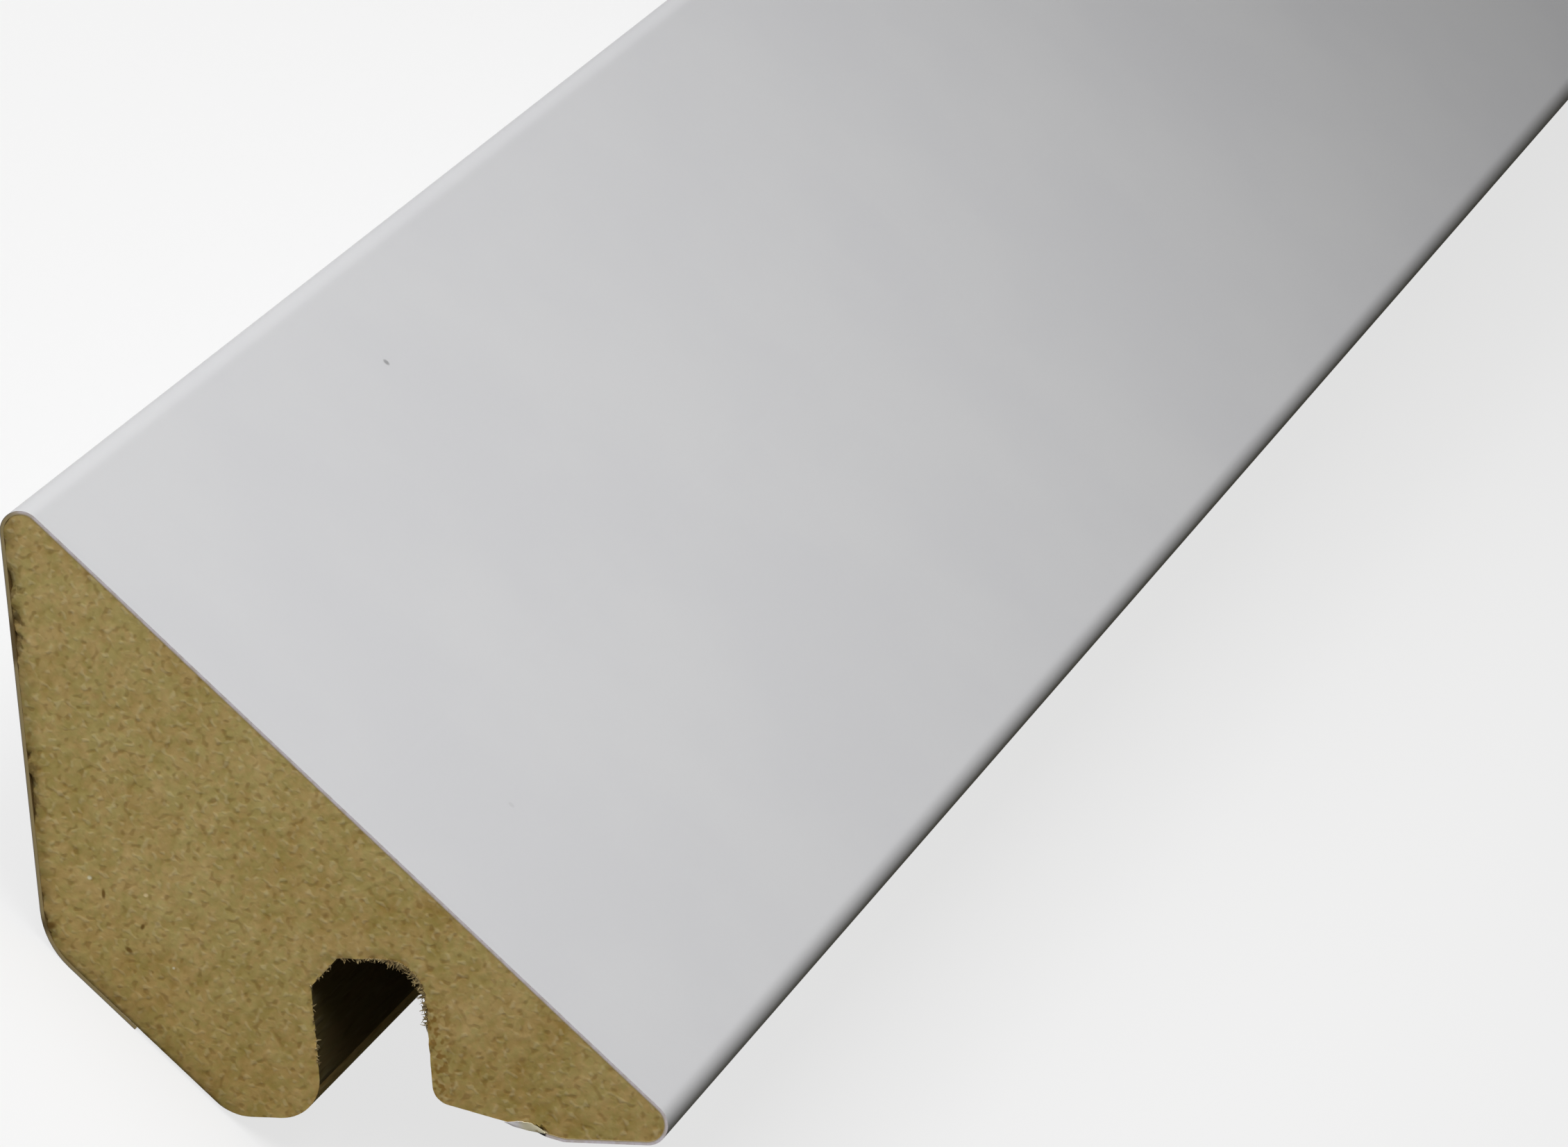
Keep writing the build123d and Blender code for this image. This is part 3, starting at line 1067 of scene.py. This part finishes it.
bpy.ops.mesh.primitive_cone_add(
    vertices=4,
    radius1=FIBRE_FOOT,
    radius2=FIBRE_TIP,
    depth=FIBRE_LENGTH,
    location=(0.0, 0.0, FIBRE_LENGTH / 2),
)
fibre = bpy.context.active_object
fibre.name = "torn_fibre"
bpy.ops.object.transform_apply(location=True, rotation=True, scale=True)
fibre.data.materials.append(loose_fibre)
bpy.ops.object.mode_set(mode="EDIT")
cut_across([FIBRE_KNEE], UPWARD)
bpy.ops.mesh.select_mode(type="VERT")
bpy.ops.mesh.select_all(action="DESELECT")
shape = bmesh.from_edit_mesh(fibre.data)
for point in shape.verts:
    point.select_set(point.co.z > TIP_FROM)
bmesh.update_edit_mesh(fibre.data)
bpy.ops.transform.translate(value=(FIBRE_BEND, 0.0, 0.0))
bpy.ops.object.mode_set(mode="OBJECT")
print("faces of a fibre:", len(fibre.data.polygons))

# %% Fringe of fibres
import random

from mathutils import Matrix

FRINGE_FOOT = 4.5 * MM
FAR_FRINGE_FOOT = 7.2 * MM
FIBRE_ROOT = 0.06 * MM
FIBRE_BEHIND = 0.2 * MM
SIDE_LEAN = 0.45
END_LEAN = 0.3
THICKNESSES = (0.6, 1.7)
LENGTHS = (0.35, 1.0)  # shares of the longest

out_way = on_section(1.0, 0.0) - on_section(0.0, 0.0)
up_way = on_section(0.0, 1.0) - on_section(0.0, 0.0)


def straight_edge(start, end, inward):
    """A straight stretch of the groove's edge: gives a place and the way into the groove, by share."""
    return lambda share: (start.lerp(end, share), inward)


def round_edge(share):
    """The rounded corner of the groove's edge, given in the same way."""
    turn = radians(90.0) * share
    outward = out_way * sin(turn) + up_way * cos(turn)
    centre = on_section(groove_far - GROOVE_RADIUS, GROOVE_DEPTH - GROOVE_RADIUS)
    return centre + outward * GROOVE_RADIUS, -outward


round_start = on_section(groove_far - GROOVE_RADIUS, GROOVE_DEPTH)
round_end = on_section(groove_far, GROOVE_DEPTH - GROOVE_RADIUS)
near_foot = on_section(groove_near, FRINGE_FOOT)
far_foot = on_section(groove_far, FAR_FRINGE_FOOT)
FRINGE = (  # stretch of the edge, number of fibres, longest fibre
    (straight_edge(near_foot, chamfer_foot, out_way), 18, 0.30 * MM),
    (straight_edge(chamfer_foot, chamfer_top, (out_way - up_way).normalized()), 12, 0.30 * MM),
    (straight_edge(chamfer_top, round_start, -up_way), 34, 0.38 * MM),
    (round_edge, 110, 0.62 * MM),
    (straight_edge(round_end, far_foot, -out_way), 36, 0.45 * MM),
)


def set_fibre(draw, end, inside, place, inward, longest):
    """Copies the fibre to a place on the groove's edge, leaning by a random draw."""
    side = Vector((-inward.y, inward.x))
    lean = inward + side * draw.gauss(0.0, SIDE_LEAN)
    way = Vector((draw.uniform(-END_LEAN, END_LEAN), lean.x, lean.y)).normalized()
    root = place - inward * FIBRE_ROOT
    foot = Vector((end + inside * draw.uniform(0.0, FIBRE_BEHIND), root.x, root.y))
    thickness = draw.uniform(*THICKNESSES)
    length = longest * draw.uniform(*LENGTHS) / FIBRE_LENGTH
    spin = Quaternion((0.0, 0.0, 1.0), draw.uniform(0.0, radians(360.0)))
    turn = (way.to_track_quat("Z", "Y") @ spin).to_matrix().to_4x4()
    copy = fibre.copy()
    copy.data = fibre.data.copy()
    stretch = Matrix.Diagonal((thickness, thickness, length, 1.0))
    copy.data.transform(Matrix.Translation(foot) @ turn @ stretch)
    bpy.context.scene.collection.objects.link(copy)
    return copy


fringe = []
for end, inside, seed in ((near_end, -1.0, 11), (far_end, 1.0, 12)):
    draw = random.Random(seed)
    for edge, count, longest in FRINGE:
        for number in range(count):
            place, inward = edge(draw.random())
            fringe.append(set_fibre(draw, end, inside, place, inward, longest))
bpy.data.objects.remove(fibre)
pick(*fringe, board)
bpy.ops.object.join()
print("torn fibres:", len(fringe), "board faces:", len(board.data.polygons))

# %% [markdown]
# ## The foil as a thin sheet
# On the line the foil is pressed round the board by rollers, from the back slope over the plain
# side, the face and the toe into the relief. It is drawn as an open line on the board's surface,
# extruded along the stick, and thickened outwards by Solidify. Its two free edges are not quite
# straight. On the relief the edge has lifted a little, and at the saw cut its corner is torn back.

# %% Foil sheet
FOIL_RINGS = (0.4, 1.0, 2.0, 3.5, 6.0, 9.0, 13.0, 18.0, 24.0, 32.0, 42.0, 55.0, 70.0, 90.0)
FOIL_RING_STEP = 20.0 * MM
RELIEF_POINTS = 12
FIRST_POINT = 2

relief_points = []
for number in range(FIRST_POINT, RELIEF_POINTS):
    relief_points.append(toe_edge + relief_way * FOIL_ON_RELIEF * (number / RELIEF_POINTS))
foil_corners = [*wrap_corners, *relief_points, foil_relief_end]
foil_radii = [*wrap_radii, *([0.0] * len(relief_points))]
foil = draw_section("foil_skin", foil_corners, foil_radii)
bpy.ops.mesh.select_all(action="SELECT")
bpy.ops.mesh.extrude_region_move(TRANSFORM_OT_translate={"value": (far_end - near_end, 0.0, 0.0)})
cut_across([near_end - ring * MM for ring in FOIL_RINGS], ALONG)
cut_across([far_end + ring * MM for ring in FOIL_RINGS], ALONG)
middle_low = far_end + FOIL_RINGS[-1] * MM
middle_high = near_end - FOIL_RINGS[-1] * MM
cut_across(steps_between(middle_low, middle_high, FOIL_RING_STEP), ALONG)
bpy.ops.mesh.select_all(action="SELECT")
bpy.ops.mesh.normals_make_consistent(inside=False)
bpy.ops.object.mode_set(mode="OBJECT")
upper = max(foil.data.polygons, key=lambda side: side.center.z)
if upper.normal.z < 0.0:
    foil.data.flip_normals()
print("sheet faces:", len(foil.data.polygons), "face looks", upper.normal[:])

# %% Free edges and thickness
EDGE_GAP = 0.05 * MM
WAVE_LENGTH = 70.0 * MM
BACK_WAVE = 0.5 * MM
RELIEF_LIFT = 0.06 * MM
LIFT_REACH = 2.0 * MM
LIFT_FADE = 14.0 * MM
TEAR_LENGTH = 2.75 * MM
TEAR_BACK = 1.2 * MM
TEAR_FADE = 2.4 * MM
TEAR_BAND = 0.12 * MM


def back_edge_weight(point):
    """The one line of points at the free edge on the back slope."""
    return 1.0 if (Vector((point.y, point.z)) - foil_back_end).length < EDGE_GAP else 0.0


def relief_edge_weight(point):
    """Strong at the free edge on the relief, and growing away from the saw cut."""
    from_edge = (Vector((point.y, point.z)) - foil_relief_end).length
    from_cut = min(1.0, max(0.0, (near_end - point.x) / LIFT_FADE))
    return from_cut * max(0.0, 1.0 - from_edge / LIFT_REACH)


def tear_weight(point):
    """Full at the corner of the free edge on the relief and the saw cut, gone at the end of the tear."""
    from_toe = Vector((point.y, point.z)) - toe_edge
    if abs(from_toe.cross(relief_way)) > TEAR_BAND:
        return 0.0
    share = 1.0 - (FOIL_ON_RELIEF - from_toe.dot(relief_way)) / TEAR_LENGTH
    return min(max(share, 0.0), 1.0) * max(0.0, 1.0 - (near_end - point.x) / TEAR_FADE)


wander = cloud_texture("edge_wander", WAVE_LENGTH, 1.0, 1.0)
dent(foil, "back_wander", back_edge_weight, wander, "Y", BACK_WAVE, 0.5)
dent(foil, "relief_lift", relief_edge_weight, None, "NORMAL", RELIEF_LIFT)
dent(foil, "tear", tear_weight, None, "X", -TEAR_BACK)
for finish in (white_foil, glued_foil, cut_foil):
    foil.data.materials.append(finish)
wall = foil.modifiers.new("wall", "SOLIDIFY")
wall.thickness = foil_thickness
wall.offset = 1.0
wall.use_even_offset = True
wall.material_offset = 1
wall.material_offset_rim = 2
bpy.ops.object.modifier_apply(modifier="wall")
outer_points = set()
for side in foil.data.polygons:
    if side.material_index == 0:
        outer_points.update(side.vertices)
through_wall = foil.data.attributes.new(WALL_ATTRIBUTE, "FLOAT", "POINT")
for number in outer_points:
    through_wall.data[number].value = 1.0
print("foil faces:", len(foil.data.polygons), "box:", foil.dimensions[:])

# %% [markdown]
# ## The torn flap
# Beside the toe the saw tore the foil's free edge and folded a scrap of it up over the sawn end. Its
# glued, cream side shows, with the dark gap of the chip behind its right half. It starts as a grid.
# The grid's points are laid along the relief, under a ragged outline, and Solidify makes it a scrap
# of real thickness, which is joined to the foil because it is still part of it.

# %% Flap
FLAP_LENGTH = 2.65 * MM
FLAP_HEIGHT = 0.42 * MM
FLAP_BELOW = 0.15 * MM
FLAP_LIFT = 0.12 * MM
FLAP_LIFT_FROM = 0.6  # share of the length
FLAP_STAND = 0.07 * MM
FLAP_RIPPLE = 0.03 * MM
FLAP_RIPPLES = (9.0, 3.0)  # along and up
FLAP_THICKNESS = 0.06 * MM
FLAP_GRID = (24, 5)
FLAP_ARCH = radians(178.0)
FLAP_LEAN = 1.25
FLAP_FOOT = (0.1, 4.0)  # how deep the foot starts, and how fast it deepens
RAGGED = 0.95
RAGS = ((0.05, 23.0), (0.04, 51.0))  # how deep, how often
SMOOTH_ANGLE = radians(30.0)

bpy.ops.mesh.primitive_grid_add(x_subdivisions=FLAP_GRID[0], y_subdivisions=FLAP_GRID[1], size=1.0)
flap = bpy.context.active_object
flap.name = "torn_flap"
relief_up = Vector((relief_way.y, -relief_way.x))
if relief_up.dot(up_way) < 0.0:
    relief_up = -relief_up
for point in flap.data.vertices:
    share = point.co.x + 0.5
    rise = point.co.y + 0.5
    ragged = RAGGED + sum(depth * sin(often * share) for depth, often in RAGS)
    top = FLAP_HEIGHT * sin(FLAP_ARCH * share ** FLAP_LEAN) * ragged
    lift = FLAP_LIFT * max(0.0, share - FLAP_LIFT_FROM) / (1.0 - FLAP_LIFT_FROM)
    bottom = lift - FLAP_BELOW * min(1.0, FLAP_FOOT[0] + FLAP_FOOT[1] * share)
    reach = foil_relief_end - relief_way * FLAP_LENGTH * share
    place = reach + relief_up * (bottom + rise * (max(top, bottom + SMALLEST_STEP) - bottom))
    ripple = FLAP_RIPPLE * sin(FLAP_RIPPLES[0] * share + FLAP_RIPPLES[1] * rise) * rise
    stand = FLAP_STAND * sqrt(rise) + ripple
    point.co = (near_end + stand, place.x, place.y)
flap.data.materials.append(glued_foil)
scrap = flap.modifiers.new("scrap", "SOLIDIFY")
scrap.thickness = FLAP_THICKNESS
scrap.offset = 0.0
bpy.ops.object.modifier_apply(modifier="scrap")
pick(flap, foil)
bpy.ops.object.join()
bpy.ops.object.shade_smooth_by_angle(angle=SMOOTH_ANGLE)
print("foil faces with the flap:", len(foil.data.polygons))

# %% [markdown]
# ## Putting the pieces on the body
# Each piece rides on the one rigid body of the stick and stands for its plain solid, which is hidden.

pick(board)
bpy.ops.object.shade_smooth_by_angle(angle=SMOOTH_ANGLE)
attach(board, "root")
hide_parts("mdf_core")
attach(foil, "root")
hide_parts("foil_wrap")
